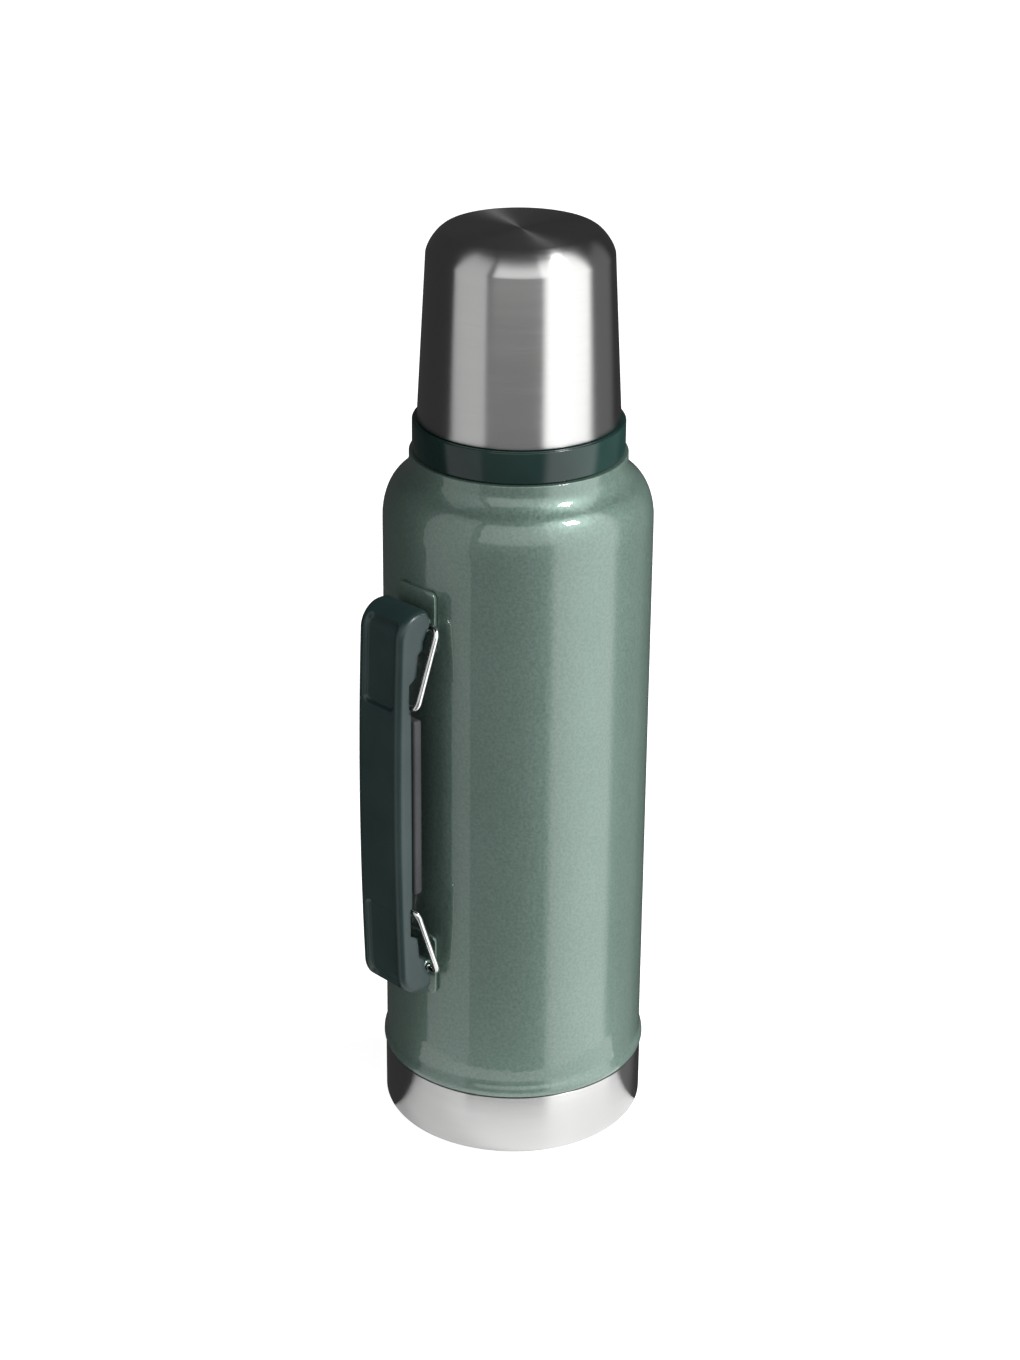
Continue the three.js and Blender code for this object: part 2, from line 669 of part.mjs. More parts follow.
function bail(end) {
  const pivotHeight = HANDLE_MIDDLE + end * PIVOT_OFFSET;
  const endHeight = HANDLE_MIDDLE + end * WIRE_END_OFFSET;
  const corners = [
    new THREE.Vector3(-WIRE_END_REACH, -WIRE_END_DEPTH, endHeight),
    new THREE.Vector3(-WIRE_END_REACH, -WIRE_HALF_SPAN, endHeight),
    new THREE.Vector3(-PIVOT_REACH, -WIRE_HALF_SPAN, pivotHeight),
    new THREE.Vector3(-PIVOT_REACH, WIRE_HALF_SPAN, pivotHeight),
    new THREE.Vector3(-WIRE_END_REACH, WIRE_HALF_SPAN, endHeight),
    new THREE.Vector3(-WIRE_END_REACH, WIRE_END_DEPTH, endHeight),
  ];
  const section = new THREE.Shape(arc(0, 0, WIRE_RADIUS, WIRE_RADIUS, 0, 300, 5));
  const extrudePath = bentWire(corners);
  return new THREE.ExtrudeGeometry(section, { steps: 44, bevelEnabled: false, extrudePath });
}

// ---- assembly -----------------------------------------------------------------------------------
add('outer_shell', outerShell(), hammeredPaint);
add('outer_bottom', outerBottom(), innerSteel);
add('base_cap', baseCap(), brushedSteel);
add('inner_vessel', innerVessel(), innerSteel);
add('inner_bottom', innerBottom(), innerSteel);
add('radiation_shield', radiationShield(), foil);
add('getter', getterPellet(), getterMetal);
add('evacuation_plug', evacuationPlug(), getterMetal);
add('neck_collar', neckCollar(), darkPlastic);
add('upper_bracket', bracket(1), hammeredPaint);
add('lower_bracket', bracket(-1), hammeredPaint);

const stopper = new THREE.Group();
flask.add(stopper);
add('stopper_body', stopperBody(), darkPlastic, stopper);
add('stopper_core', stopperCore(), foam, stopper);
add('stopper_cap', stopperCap(), greenPlastic, stopper);
add('stopper_gasket', stopperGasket(), sealRubber, stopper);

const cup = new THREE.Group();
flask.add(cup);
add('cup_shell', cupShell(), brushedSteel, cup);
add('cup_liner', cupLiner(), greenPlastic, cup);
add('cup_insulation', cupInsulation(), foam, cup);

const handle = new THREE.Group();
flask.add(handle);
add('handle_shell', handleShell(), greenPlastic, handle);
add('handle_grip', handleGrip(), greyGrip, handle);
add('handle_screw_upper', handleScrew(1), wireSteel, handle);
add('handle_screw_lower', handleScrew(-1), wireSteel, handle);
add('upper_bail', bail(1), wireSteel);
add('lower_bail', bail(-1), wireSteel);

export default flask;
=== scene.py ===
"""Vacuum flask: fine surfaces, materials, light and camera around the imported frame."""
import json
import math

import bmesh
import bpy
from mathutils import Matrix, Vector


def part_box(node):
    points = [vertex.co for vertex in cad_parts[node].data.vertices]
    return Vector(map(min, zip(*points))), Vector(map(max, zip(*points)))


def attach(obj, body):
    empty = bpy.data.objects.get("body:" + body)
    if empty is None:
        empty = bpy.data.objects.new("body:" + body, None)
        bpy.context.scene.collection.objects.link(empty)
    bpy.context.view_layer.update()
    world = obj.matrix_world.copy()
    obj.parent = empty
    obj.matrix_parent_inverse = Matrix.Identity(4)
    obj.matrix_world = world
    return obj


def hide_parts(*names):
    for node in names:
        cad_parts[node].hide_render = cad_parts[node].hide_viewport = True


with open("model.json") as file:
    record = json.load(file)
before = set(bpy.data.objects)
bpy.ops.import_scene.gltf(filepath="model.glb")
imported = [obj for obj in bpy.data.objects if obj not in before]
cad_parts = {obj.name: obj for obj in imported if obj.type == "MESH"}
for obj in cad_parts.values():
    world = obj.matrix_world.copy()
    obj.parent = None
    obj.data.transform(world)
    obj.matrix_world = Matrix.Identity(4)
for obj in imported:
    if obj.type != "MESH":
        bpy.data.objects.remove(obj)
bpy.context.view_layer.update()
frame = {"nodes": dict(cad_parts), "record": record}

MM = 0.001

# ---- the flask's sizes, in millimetres -----------------------------------------------------------
SEGMENTS = 160
GAP = 0.3

BODY_RADIUS = 51.25
BODY_WALL = 0.5
SKIRT_RADIUS = 50.7
SKIRT_BOTTOM = 4
BEAD_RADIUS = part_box("outer_shell")[1].x / MM
BEAD_HEIGHT = 28.3
NECK_RADIUS = 41.2
NECK_TOP = 278.35
SHOULDER_START = 252
SHOULDER_RISE = 17.6

BASE_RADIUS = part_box("base_cap")[1].x / MM
BASE_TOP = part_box("base_cap")[1].z / MM
LIP_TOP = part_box("inner_vessel")[1].z / MM
MOUTH_RADIUS = 27.4
VESSEL_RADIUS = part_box("inner_vessel")[1].x / MM

COLLAR_RADIUS = 33.2
COLLAR_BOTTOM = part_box("neck_collar")[0].z / MM
COLLAR_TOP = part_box("neck_collar")[1].z / MM
THREAD_PITCH = 5.0
THREAD_WIDTH = 2.2
THREAD_TURNS = 1.5

RING_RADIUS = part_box("cup_liner")[1].x / MM
RING_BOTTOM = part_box("cup_liner")[0].z / MM
RING_TOP = 290.95
CUP_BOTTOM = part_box("cup_shell")[0].z / MM
CUP_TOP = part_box("cup_shell")[1].z / MM
CUP_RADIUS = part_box("cup_shell")[1].x / MM
CUP_TOP_RADIUS = 34.8
CUP_EDGE_WIDTH = 6.8
CUP_EDGE_HEIGHT = 9
CUP_EDGE_FULLNESS = 1.4
CUP_WALL = 0.5
CUP_CEILING = 351.5

STOPPER_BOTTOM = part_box("stopper_body")[0].z / MM
STOPPER_RADIUS = 24.8
FLANGE_BOTTOM = 302.3
FLANGE_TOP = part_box("stopper_body")[1].z / MM
KNOB_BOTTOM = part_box("stopper_cap")[0].z / MM
KNOB_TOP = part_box("stopper_cap")[1].z / MM

HANDLE_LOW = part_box("handle_shell")[0] / MM
HANDLE_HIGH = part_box("handle_shell")[1] / MM
HANDLE_MIDDLE = (HANDLE_LOW.z + HANDLE_HIGH.z) / 2
HANDLE_HALF_LENGTH = (HANDLE_HIGH.z - HANDLE_LOW.z) / 2
HANDLE_HALF_WIDTH = HANDLE_HIGH.y
HANDLE_REACH = -HANDLE_LOW.x
HANDLE_BOW = 1.6
HANDLE_FLAT = 69.5
HANDLE_END = 60.5
HANDLE_EAR = -HANDLE_HIGH.x
HANDLE_RAIL = 65.4
HANDLE_WALL = 1.9
HANDLE_CORNER = 2.6
PANEL_DEPTH = 1.5
PANEL_START = 41.5
PANEL_HALF_WIDTH = 8.6
PANEL_CORNER = 3.0
PANEL_RAMP = 1.1
SLOT_OUTER = 66.3
SLOT_START = 41
SLOT_END = 54.6

PIVOT_REACH = 54
PIVOT_OFFSET = 72
WIRE_RADIUS = 1.2
WIRE_HALF_SPAN = 14
WIRE_END_REACH = 64.4
WIRE_END_OFFSET = 42.8
WIRE_END_DEPTH = 6.6
WIRE_BEND = 3.2


# ---- mesh helpers --------------------------------------------------------------------------------
def arc(centre_x, centre_y, radius_x, radius_y, start, end, steps):
    """Points of an elliptical arc between two angles in degrees."""
    angles = [math.radians(start + (end - start) * i / steps) for i in range(steps + 1)]
    return [(centre_x + radius_x * math.cos(a), centre_y + radius_y * math.sin(a)) for a in angles]


def bezier(a, b, c, steps):
    """Points of a quadratic curve from a to c that leaves towards b."""
    points = []
    for i in range(steps + 1):
        t = i / steps
        points.append(tuple(p * (1 - t) ** 2 + 2 * q * t * (1 - t) + r * t * t for p, q, r in zip(a, b, c)))
    return points


def smoothstep(low, high, value):
    t = min(max((value - low) / (high - low), 0.0), 1.0)
    return t * t * (3 - 2 * t)


def make_object(name, vertices, faces, sharp_angle=32):
    """A smooth-shaded mesh object from vertices in millimetres, with sharp edges past an angle."""
    mesh = bpy.data.meshes.new(name)
    mesh.from_pydata([(x * MM, y * MM, z * MM) for x, y, z in vertices], [], faces)
    mesh.validate()
    obj = bpy.data.objects.new(name, mesh)
    bpy.context.scene.collection.objects.link(obj)
    shade(obj, sharp_angle)
    return obj


def shade(obj, sharp_angle):
    mesh = obj.data
    mesh.polygons.foreach_set("use_smooth", [True] * len(mesh.polygons))
    mesh.set_sharp_from_angle(angle=math.radians(sharp_angle))


def bake_modifiers(obj, sharp_angle=32):
    """Turns an object's modifiers into its mesh."""
    graph = bpy.context.evaluated_depsgraph_get()
    mesh = bpy.data.meshes.new_from_object(obj.evaluated_get(graph))
    obj.modifiers.clear()
    obj.data = mesh
    shade(obj, sharp_angle)
    return obj


def add_bevel(obj, width, segments=3, angle=35):
    bevel = obj.modifiers.new("bevel", "BEVEL")
    bevel.width = width * MM
    bevel.segments = segments
    bevel.limit_method = "ANGLE"
    bevel.angle_limit = math.radians(angle)
    bevel.harden_normals = False
    return bevel


def carve(obj, *tools):
    """Cuts the tools out of an object and removes them."""
    for tool in tools:
        boolean = obj.modifiers.new("cut", "BOOLEAN")
        boolean.operation = "DIFFERENCE"
        boolean.solver = "EXACT"
        boolean.object = tool
    bake_modifiers(obj)
    for tool in tools:
        bpy.data.objects.remove(tool)
    return obj


def join_into(obj, *others):
    """Adds the other objects' meshes to the first as loose shells."""
    work = bmesh.new()
    for source in (obj, *others):
        work.from_mesh(source.data)
    work.to_mesh(obj.data)
    work.free()
    for other in others:
        bpy.data.objects.remove(other)
    return obj


def turned(name, profile, segments=SEGMENTS, sharp_angle=32):
    """A closed outline of (radius, height), anticlockwise, turned about the flask's axis."""
    vertices = []
    rings = []
    for radius, height in profile:
        first = len(vertices)
        if radius < 1e-6:
            vertices.append((0, 0, height))
            rings.append([first] * segments)
            continue
        for i in range(segments):
            angle = 2 * math.pi * i / segments
            vertices.append((radius * math.cos(angle), radius * math.sin(angle), height))
        rings.append(list(range(first, first + segments)))
    faces = []
    for ring, above in zip(rings, rings[1:] + rings[:1]):
        for i in range(segments):
            j = (i + 1) % segments
            corners = list(dict.fromkeys([ring[i], ring[j], above[j], above[i]]))
            if len(corners) > 2:
                faces.append(corners)
    return make_object(name, vertices, faces, sharp_angle)


def lofted(name, rows, closed=True, capped=True, sharp_angle=32):
    """Rows of points joined into a skin. A closed row is a ring; caps fill the first and last rings."""
    count = len(rows[0])
    vertices = [p for row in rows for p in row]
    faces = []
    for r in range(len(rows) - 1):
        for i in range(count if closed else count - 1):
            j = (i + 1) % count
            faces.append([r * count + i, r * count + j, (r + 1) * count + j, (r + 1) * count + i])
    if capped:
        faces.append(list(reversed(range(count))))
        faces.append([(len(rows) - 1) * count + i for i in range(count)])
    obj = make_object(name, vertices, faces, sharp_angle)
    work = bmesh.new()
    work.from_mesh(obj.data)
    bmesh.ops.recalc_face_normals(work, faces=work.faces)
    work.to_mesh(obj.data)
    work.free()
    shade(obj, sharp_angle)
    return obj


def helical_ridge(name, root, crest, start, turns=THREAD_TURNS):
    """A thread's ridge, with ends that fade into the wall."""
    steps = round(72 * turns)
    rows = []
    for i in range(steps + 1):
        along = turns * i / steps
        angle = 2 * math.pi * along
        fade = smoothstep(0, 0.09, along) * smoothstep(0, 0.09, turns - along)
        tip = root + (crest - root) * max(fade, 0.02)
        section = [
            (root, -THREAD_WIDTH / 2),
            (tip - (tip - root) * 0.25, -THREAD_WIDTH * 0.32),
            (tip, -THREAD_WIDTH * 0.18),
            (tip, THREAD_WIDTH * 0.18),
            (tip - (tip - root) * 0.25, THREAD_WIDTH * 0.32),
            (root, THREAD_WIDTH / 2),
        ]
        rise = start + THREAD_PITCH * along
        rows.append([(r * math.cos(angle), r * math.sin(angle), rise + z) for r, z in section])
    return lofted(name, rows, sharp_angle=50)


def rounded_block(name, low, high, radius, segments=3):
    """A block between two corners with all its edges rounded."""
    obj = make_object(name, *block_faces(low, high))
    add_bevel(obj, radius, segments)
    return bake_modifiers(obj)


def block_faces(low, high):
    x, y, z = zip(low, high)
    vertices = [(x[i], y[j], z[k]) for i in (0, 1) for j in (0, 1) for k in (0, 1)]
    faces = [(0, 1, 3, 2), (4, 6, 7, 5), (0, 4, 5, 1), (2, 3, 7, 6), (0, 2, 6, 4), (1, 5, 7, 3)]
    return vertices, faces


def rod_along_x(name, radius, from_x, to_x, height, sides=32):
    rows = []
    for x in (from_x, to_x):
        ring = [2 * math.pi * i / sides for i in range(sides)]
        rows.append([(x, radius * math.cos(a), height + radius * math.sin(a)) for a in ring])
    return lofted(name, rows)


def rounded_outline(half_width, half_height, corner, steps):
    """Points of a rectangle with rounded corners, about the origin."""
    x = half_width - corner
    y = half_height - corner
    outline = []
    for centre_x, centre_y, start in ((x, y, 0), (-x, y, 90), (-x, -y, 180), (x, -y, 270)):
        outline += arc(centre_x, centre_y, corner, corner, start, start + 90, steps)
    return outline


# ---- materials -----------------------------------------------------------------------------------
def add_node(tree, kind, inputs=None, **settings):
    """A node with its settings, and its inputs either linked or set to a value."""
    node = tree.nodes.new(kind)
    for key, value in settings.items():
        setattr(node, key, value)
    for key, value in (inputs or {}).items():
        if isinstance(value, bpy.types.NodeSocket):
            tree.links.new(value, node.inputs[key])
        else:
            node.inputs[key].default_value = value
    return node


def new_material(name):
    material = bpy.data.materials.new(name)
    material.use_nodes = True
    tree = material.node_tree
    tree.nodes.clear()
    shader = add_node(tree, "ShaderNodeBsdfPrincipled")
    output = add_node(tree, "ShaderNodeOutputMaterial")
    tree.links.new(shader.outputs["BSDF"], output.inputs["Surface"])
    return material, tree, shader


def place(tree, stretch=(1, 1, 1)):
    """The point on the piece, in metres, stretched along the axes."""
    coordinates = add_node(tree, "ShaderNodeTexCoord")
    inputs = {"Vector": coordinates.outputs["Object"], "Scale": stretch}
    mapping = add_node(tree, "ShaderNodeMapping", inputs)
    return mapping.outputs["Vector"]


def noise(tree, vector, scale, detail=2.0, roughness=0.5):
    inputs = {"Vector": vector, "Scale": scale, "Detail": detail, "Roughness": roughness}
    return add_node(tree, "ShaderNodeTexNoise", inputs).outputs["Fac"]


def blend_colours(tree, factor, low, high, start=0.35, end=0.65):
    """A colour that runs from low to high as factor goes from start to end."""
    ramp = add_node(tree, "ShaderNodeValToRGB", {"Fac": factor})
    first, last = ramp.color_ramp.elements
    first.position = start
    last.position = end
    first.color = (*low, 1)
    last.color = (*high, 1)
    return ramp.outputs["Color"]


def vary(tree, factor, low, high, start=0.3, end=0.7):
    """A number that runs from low to high as factor goes from start to end."""
    inputs = {"Value": factor, "From Min": start, "From Max": end, "To Min": low, "To Max": high}
    return add_node(tree, "ShaderNodeMapRange", inputs).outputs["Result"]


def bump(tree, height, distance, strength=1.0, normal=None):
    inputs = {"Height": height, "Distance": distance, "Strength": strength}
    if normal is not None:
        inputs["Normal"] = normal
    return add_node(tree, "ShaderNodeBump", inputs).outputs["Normal"]


def set_inputs(tree, shader, values):
    for key, value in values.items():
        if isinstance(value, bpy.types.NodeSocket):
            tree.links.new(value, shader.inputs[key])
        else:
            shader.inputs[key].default_value = value


PAINT_DARK = (0.12, 0.186, 0.157)
PAINT_LIGHT = (0.154, 0.228, 0.195)


def hammered_paint():
    """Grey-green metallic enamel: fine hammered dimples under a glossy clear coat."""
    material, tree, shader = new_material("hammered_paint")
    point = place(tree)
    settings = {"Vector": point, "Scale": 560.0, "Smoothness": 0.7}
    dimples = add_node(tree, "ShaderNodeTexVoronoi", settings, feature="SMOOTH_F1").outputs["Distance"]
    grain = noise(tree, point, 900.0, 3.0, 0.6)
    clouds = noise(tree, point, 30.0, 2.0)
    speckle = blend_colours(tree, grain, PAINT_DARK, PAINT_LIGHT, 0.36, 0.64)
    tint = blend_colours(tree, clouds, (0.93, 0.95, 0.94), (1.0, 1.0, 1.0))
    colour = add_node(tree, "ShaderNodeMix", {"Factor": 1.0}, data_type="RGBA", blend_type="MULTIPLY")
    tree.links.new(speckle, colour.inputs[6])
    tree.links.new(tint, colour.inputs[7])
    relief = bump(tree, dimples, 0.00015, 0.4)
    relief = bump(tree, grain, 0.00006, 0.4, relief)
    set_inputs(tree, shader, {
        "Base Color": colour.outputs[2],
        "Metallic": 0.55,
        "Roughness": vary(tree, grain, 0.4, 0.5),
        "Normal": relief,
        "Coat Weight": 1.0,
        "Coat Roughness": 0.03,
        "Coat IOR": 1.6,
        "Coat Normal": bump(tree, dimples, 0.00004, 0.3),
    })
    return material


def brushed_steel(name, colour, roughness, streak=0.25):
    """Stainless steel brushed round the axis: fine rings that spread reflections up and down."""
    material, tree, shader = new_material(name)
    fine = noise(tree, place(tree, (1, 1, 90)), 50.0, 4.0, 0.65)
    broad = noise(tree, place(tree, (1, 1, 12)), 24.0, 2.0)
    darker = tuple(c * (1 - 0.22 * streak) for c in colour)
    tangent = add_node(tree, "ShaderNodeTangent", direction_type="RADIAL", axis="Z")
    mixed = add_node(tree, "ShaderNodeMath", {0: fine, 1: broad}, operation="MULTIPLY")
    set_inputs(tree, shader, {
        "Base Color": blend_colours(tree, fine, darker, colour, 0.3, 0.7),
        "Metallic": 1.0,
        "Roughness": vary(tree, mixed.outputs[0], roughness * 0.92, roughness * 1.1, 0.1, 0.4),
        "Anisotropic": 0.92,
        "Anisotropic Rotation": 0.25,
        "Tangent": tangent.outputs["Tangent"],
        "Normal": bump(tree, fine, 0.00001, 0.05),
    })
    return material


def plain_steel(name, colour, roughness, scale):
    """Drawn or pressed steel with a faint uneven polish."""
    material, tree, shader = new_material(name)
    cloud = noise(tree, place(tree), scale, 3.0)
    darker = tuple(c * 0.86 for c in colour)
    set_inputs(tree, shader, {
        "Base Color": blend_colours(tree, cloud, darker, colour),
        "Metallic": 1.0,
        "Roughness": vary(tree, cloud, roughness * 0.7, roughness * 1.3),
        "Normal": bump(tree, noise(tree, place(tree), scale * 8, 2.0), 0.00001, 0.3),
    })
    return material


def moulded_plastic(name, low, high, roughness, grain, relief):
    """Moulded plastic with a fine spark-eroded grain and a slight change of tone."""
    material, tree, shader = new_material(name)
    texture = noise(tree, place(tree), grain, 3.0, 0.6)
    cloud = noise(tree, place(tree), 45.0, 2.0)
    set_inputs(tree, shader, {
        "Base Color": blend_colours(tree, cloud, low, high),
        "Roughness": vary(tree, texture, roughness * 0.88, roughness * 1.12),
        "Normal": bump(tree, texture, relief, 0.5),
    })
    return material


def foam_material():
    """Pale closed-cell foam."""
    material, tree, shader = new_material("foam")
    cells = add_node(tree, "ShaderNodeTexVoronoi", {"Vector": place(tree), "Scale": 900.0})
    distance = cells.outputs["Distance"]
    set_inputs(tree, shader, {
        "Base Color": blend_colours(tree, distance, (0.6, 0.56, 0.46), (0.74, 0.7, 0.6), 0.1, 0.6),
        "Roughness": 0.95,
        "Normal": bump(tree, distance, 0.0003, 0.6),
    })
    return material


MATERIALS = {
    "hammered_paint": hammered_paint(),
    "brushed_steel": brushed_steel("brushed_steel", (0.6, 0.6, 0.595), 0.24),
    "inner_steel": plain_steel("inner_steel", (0.58, 0.59, 0.59), 0.25, 60.0),
    "getter_metal": plain_steel("getter_metal", (0.3, 0.29, 0.27), 0.6, 300.0),
    "copper_foil": plain_steel("copper_foil", (0.72, 0.42, 0.28), 0.3, 120.0),
    "wire_steel": plain_steel("wire_steel", (0.78, 0.78, 0.77), 0.13, 400.0),
    "dark_plastic": moulded_plastic(
        "dark_plastic", (0.012, 0.02, 0.018), (0.018, 0.028, 0.025), 0.42, 1500.0, 0.00004
    ),
    "green_plastic": moulded_plastic(
        "green_plastic", (0.006, 0.022, 0.019), (0.009, 0.028, 0.024), 0.16, 1500.0, 0.00001
    ),
    "handle_plastic": moulded_plastic(
        "handle_plastic", (0.013, 0.032, 0.031), (0.018, 0.04, 0.038), 0.32, 1700.0, 0.00002
    ),
    "grey_grip": moulded_plastic(
        "grey_grip", (0.03, 0.032, 0.036), (0.042, 0.044, 0.048), 0.6, 1100.0, 0.00008
    ),
    "seal_rubber": moulded_plastic(
        "seal_rubber", (0.3, 0.31, 0.3), (0.36, 0.37, 0.36), 0.7, 900.0, 0.00004
    ),
    "foam": foam_material(),
}


def finish(piece, material, body, *nodes, slot=None):
    """Gives a piece its material and its body, and hides the CAD nodes it stands for; the slot argument is
    not used.
    """
    piece.data.materials.clear()
    piece.data.materials.append(MATERIALS[material])
    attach(piece, body)
    if nodes:
        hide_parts(*nodes)
    return piece


# ---- bottle --------------------------------------------------------------------------------------
def outer_shell():
    """Painted wall from the skirt under the bead, over the shoulder, to the tube of the mouth."""
    lip = 0.45
    neck_inside = NECK_RADIUS - BODY_WALL
    tube_inside = MOUTH_RADIUS + 0.9
    tube_outside = tube_inside + BODY_WALL
    shoulder_width = BODY_RADIUS - NECK_RADIUS
    rise = SHOULDER_RISE - BODY_WALL
    skirt_inside = SKIRT_RADIUS - BODY_WALL
    body_inside = BODY_RADIUS - BODY_WALL
    bead_foot = BASE_TOP + GAP
    profile = [(SKIRT_RADIUS, SKIRT_BOTTOM), (SKIRT_RADIUS, bead_foot)]
    profile += arc(BEAD_RADIUS - 1.5, BEAD_HEIGHT, 1.5, BEAD_HEIGHT - bead_foot, -78, 0, 8)
    profile += bezier((BEAD_RADIUS, BEAD_HEIGHT), (BEAD_RADIUS, 30.0), (51.75, 31.0), 6)[1:]
    profile += bezier((51.75, 31.0), (BODY_RADIUS, 31.8), (BODY_RADIUS, 34.0), 6)[1:]
    profile += [(BODY_RADIUS, height) for height in range(60, SHOULDER_START - 5, 30)]
    profile += arc(NECK_RADIUS, SHOULDER_START, shoulder_width, SHOULDER_RISE, 0, 64, 26)
    start, inward = profile[-1], profile[-2]
    slope = (start[1] - inward[1]) / (inward[0] - start[0])
    corner = (NECK_RADIUS, start[1] + slope * (start[0] - NECK_RADIUS))
    profile += bezier(start, corner, (NECK_RADIUS, 275.2), 14)[1:]
    profile += arc(NECK_RADIUS - lip, NECK_TOP - lip, lip, lip, 0, 90, 5)
    profile += [(tube_outside, NECK_TOP), (tube_outside, LIP_TOP), (tube_inside, LIP_TOP)]
    profile += [(tube_inside, NECK_TOP - BODY_WALL), (neck_inside - 0.3, NECK_TOP - BODY_WALL)]
    profile += [(neck_inside, NECK_TOP - 1), (neck_inside, 270.6)]
    profile += arc(NECK_RADIUS, SHOULDER_START, shoulder_width - BODY_WALL, rise, 60, 0, 12)
    profile += [(body_inside, 33), (skirt_inside, bead_foot), (skirt_inside, SKIRT_BOTTOM)]
    return finish(turned("bottle_outer_shell", profile), "hammered_paint", "flask", "outer_shell")


def base_cap():
    """Pressed cap with a rolled top edge and a shallow ring groove underneath."""
    fillet = 3.0
    wall = 0.6
    groove = 36.0
    inside = BASE_RADIUS - wall
    profile = [(0, 0), (groove - 2.5, 0)]
    profile += arc(groove, 0, 2.2, 0.45, 180, 0, 8)
    profile += arc(BASE_RADIUS - fillet, fillet, fillet, fillet, -90, 0, 12)
    profile += arc(BASE_RADIUS - 0.25, BASE_TOP - 0.25, 0.25, 0.25, 0, 90, 4)
    profile += [(inside, BASE_TOP), (inside, fillet), (inside - fillet + 1, wall + 0.5), (0, wall + 0.5)]
    return finish(turned("steel_base_cap", profile), "brushed_steel", "flask", "base_cap")


def inner_vessel():
    """Steel liner with the mouth's rolled lip and the stopper's thread."""
    wall = 0.4
    mouth_outside = MOUTH_RADIUS + 0.6
    inside = VESSEL_RADIUS - wall
    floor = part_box("inner_vessel")[0].z / MM
    profile = [(VESSEL_RADIUS, floor)]
    profile += arc(mouth_outside, 246, VESSEL_RADIUS - mouth_outside, 21, 0, 90, 20)
    profile += arc(mouth_outside - 0.25, LIP_TOP - 0.25, 0.25, 0.25, 0, 90, 3)
    profile += arc(MOUTH_RADIUS + 0.25, LIP_TOP - 0.25, 0.25, 0.25, 90, 180, 3)
    profile += arc(MOUTH_RADIUS, 246, inside - MOUTH_RADIUS, 21 - wall, 90, 0, 20)
    profile += [(inside, floor)]
    vessel = turned("steel_inner_vessel", profile)
    thread = helical_ridge("mouth_thread", MOUTH_RADIUS + 0.2, MOUTH_RADIUS - 0.7, 283)
    return finish(join_into(vessel, thread), "inner_steel", "flask", "inner_vessel")


def neck_collar():
    """Threaded sleeve for the cup, on a small foot."""
    inside = MOUTH_RADIUS + 1.7
    foot = COLLAR_RADIUS + 0.6
    edge = 0.8
    profile = [(inside, COLLAR_BOTTOM), (foot, COLLAR_BOTTOM), (foot, COLLAR_BOTTOM + 1.2)]
    profile += [(COLLAR_RADIUS, COLLAR_BOTTOM + 1.8)]
    profile += arc(COLLAR_RADIUS - edge, COLLAR_TOP - edge, edge, edge, 0, 90, 6)
    profile += [(inside + 0.3, COLLAR_TOP), (inside, COLLAR_TOP - 0.3)]
    collar = turned("threaded_neck_collar", profile)
    thread = helical_ridge("collar_thread", COLLAR_RADIUS - 0.2, COLLAR_RADIUS + 1, 283.5)
    return finish(join_into(collar, thread), "dark_plastic", "flask", "neck_collar")


# ---- stopper -------------------------------------------------------------------------------------
def stopper_plug():
    """Hollow threaded plug with a rounded flange."""
    wall = 1.8
    rim = 0.6
    flange = 29.3
    inside = STOPPER_RADIUS - wall
    floor_top = STOPPER_BOTTOM + wall
    profile = [(0, STOPPER_BOTTOM)]
    profile += arc(STOPPER_RADIUS - 2, STOPPER_BOTTOM + 2, 2, 2, -90, 0, 8)
    profile += [(STOPPER_RADIUS, FLANGE_BOTTOM)]
    profile += arc(flange - rim, FLANGE_BOTTOM + rim, rim, rim, -90, 0, 4)
    profile += arc(flange - rim, FLANGE_TOP - rim, rim, rim, 0, 90, 4)
    profile += [(inside, FLANGE_TOP), (inside, floor_top), (0, floor_top)]
    plug = turned("stopper_plug", profile)
    thread = helical_ridge("stopper_thread", STOPPER_RADIUS - 0.2, STOPPER_RADIUS + 1, 280.5)
    return finish(join_into(plug, thread), "dark_plastic", "stopper", "stopper_body")


def stopper_seal():
    """Ring with rounded outer edges between the flange and the lip."""
    low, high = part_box("stopper_gasket")
    inside = 25.2
    edge = 0.4
    centre = high.x / MM - edge
    bottom = low.z / MM
    top = high.z / MM
    profile = [(inside, bottom)]
    profile += arc(centre, bottom + edge, edge, edge, -90, 0, 3)
    profile += arc(centre, top - edge, edge, edge, 0, 90, 3)
    profile += [(inside, top)]
    ring = turned("stopper_seal_ring", profile)
    return finish(ring, "seal_rubber", "stopper_seal", "stopper_gasket")


def stopper_knob():
    """Lobed grip with a rounded rim and a dished top."""
    lobes = 16
    sides = 192
    profile = [(0.0, KNOB_BOTTOM), (24.6, KNOB_BOTTOM), (26.2, KNOB_BOTTOM + 0.8)]
    profile += arc(24.9, KNOB_TOP - 1.3, 1.3, 1.3, 0, 90, 6)
    profile += arc(22.6, KNOB_TOP - 1.2, 1.2, 1.2, 90, 170, 6)
    profile += [(20.4, KNOB_TOP - 1.15), (0.0, KNOB_TOP - 1.15)]
    rows = []
    for radius, height in profile:
        row = []
        for i in range(sides):
            angle = 2 * math.pi * i / sides
            depth = 0.95 * smoothstep(22.5, 26.0, radius)
            reach = radius - depth * (1 - math.cos(lobes * angle)) if radius else 0.001
            row.append((reach * math.cos(angle), reach * math.sin(angle), height))
        rows.append(row)
    return finish(lofted("stopper_knob", rows), "green_plastic", "stopper", "stopper_cap")


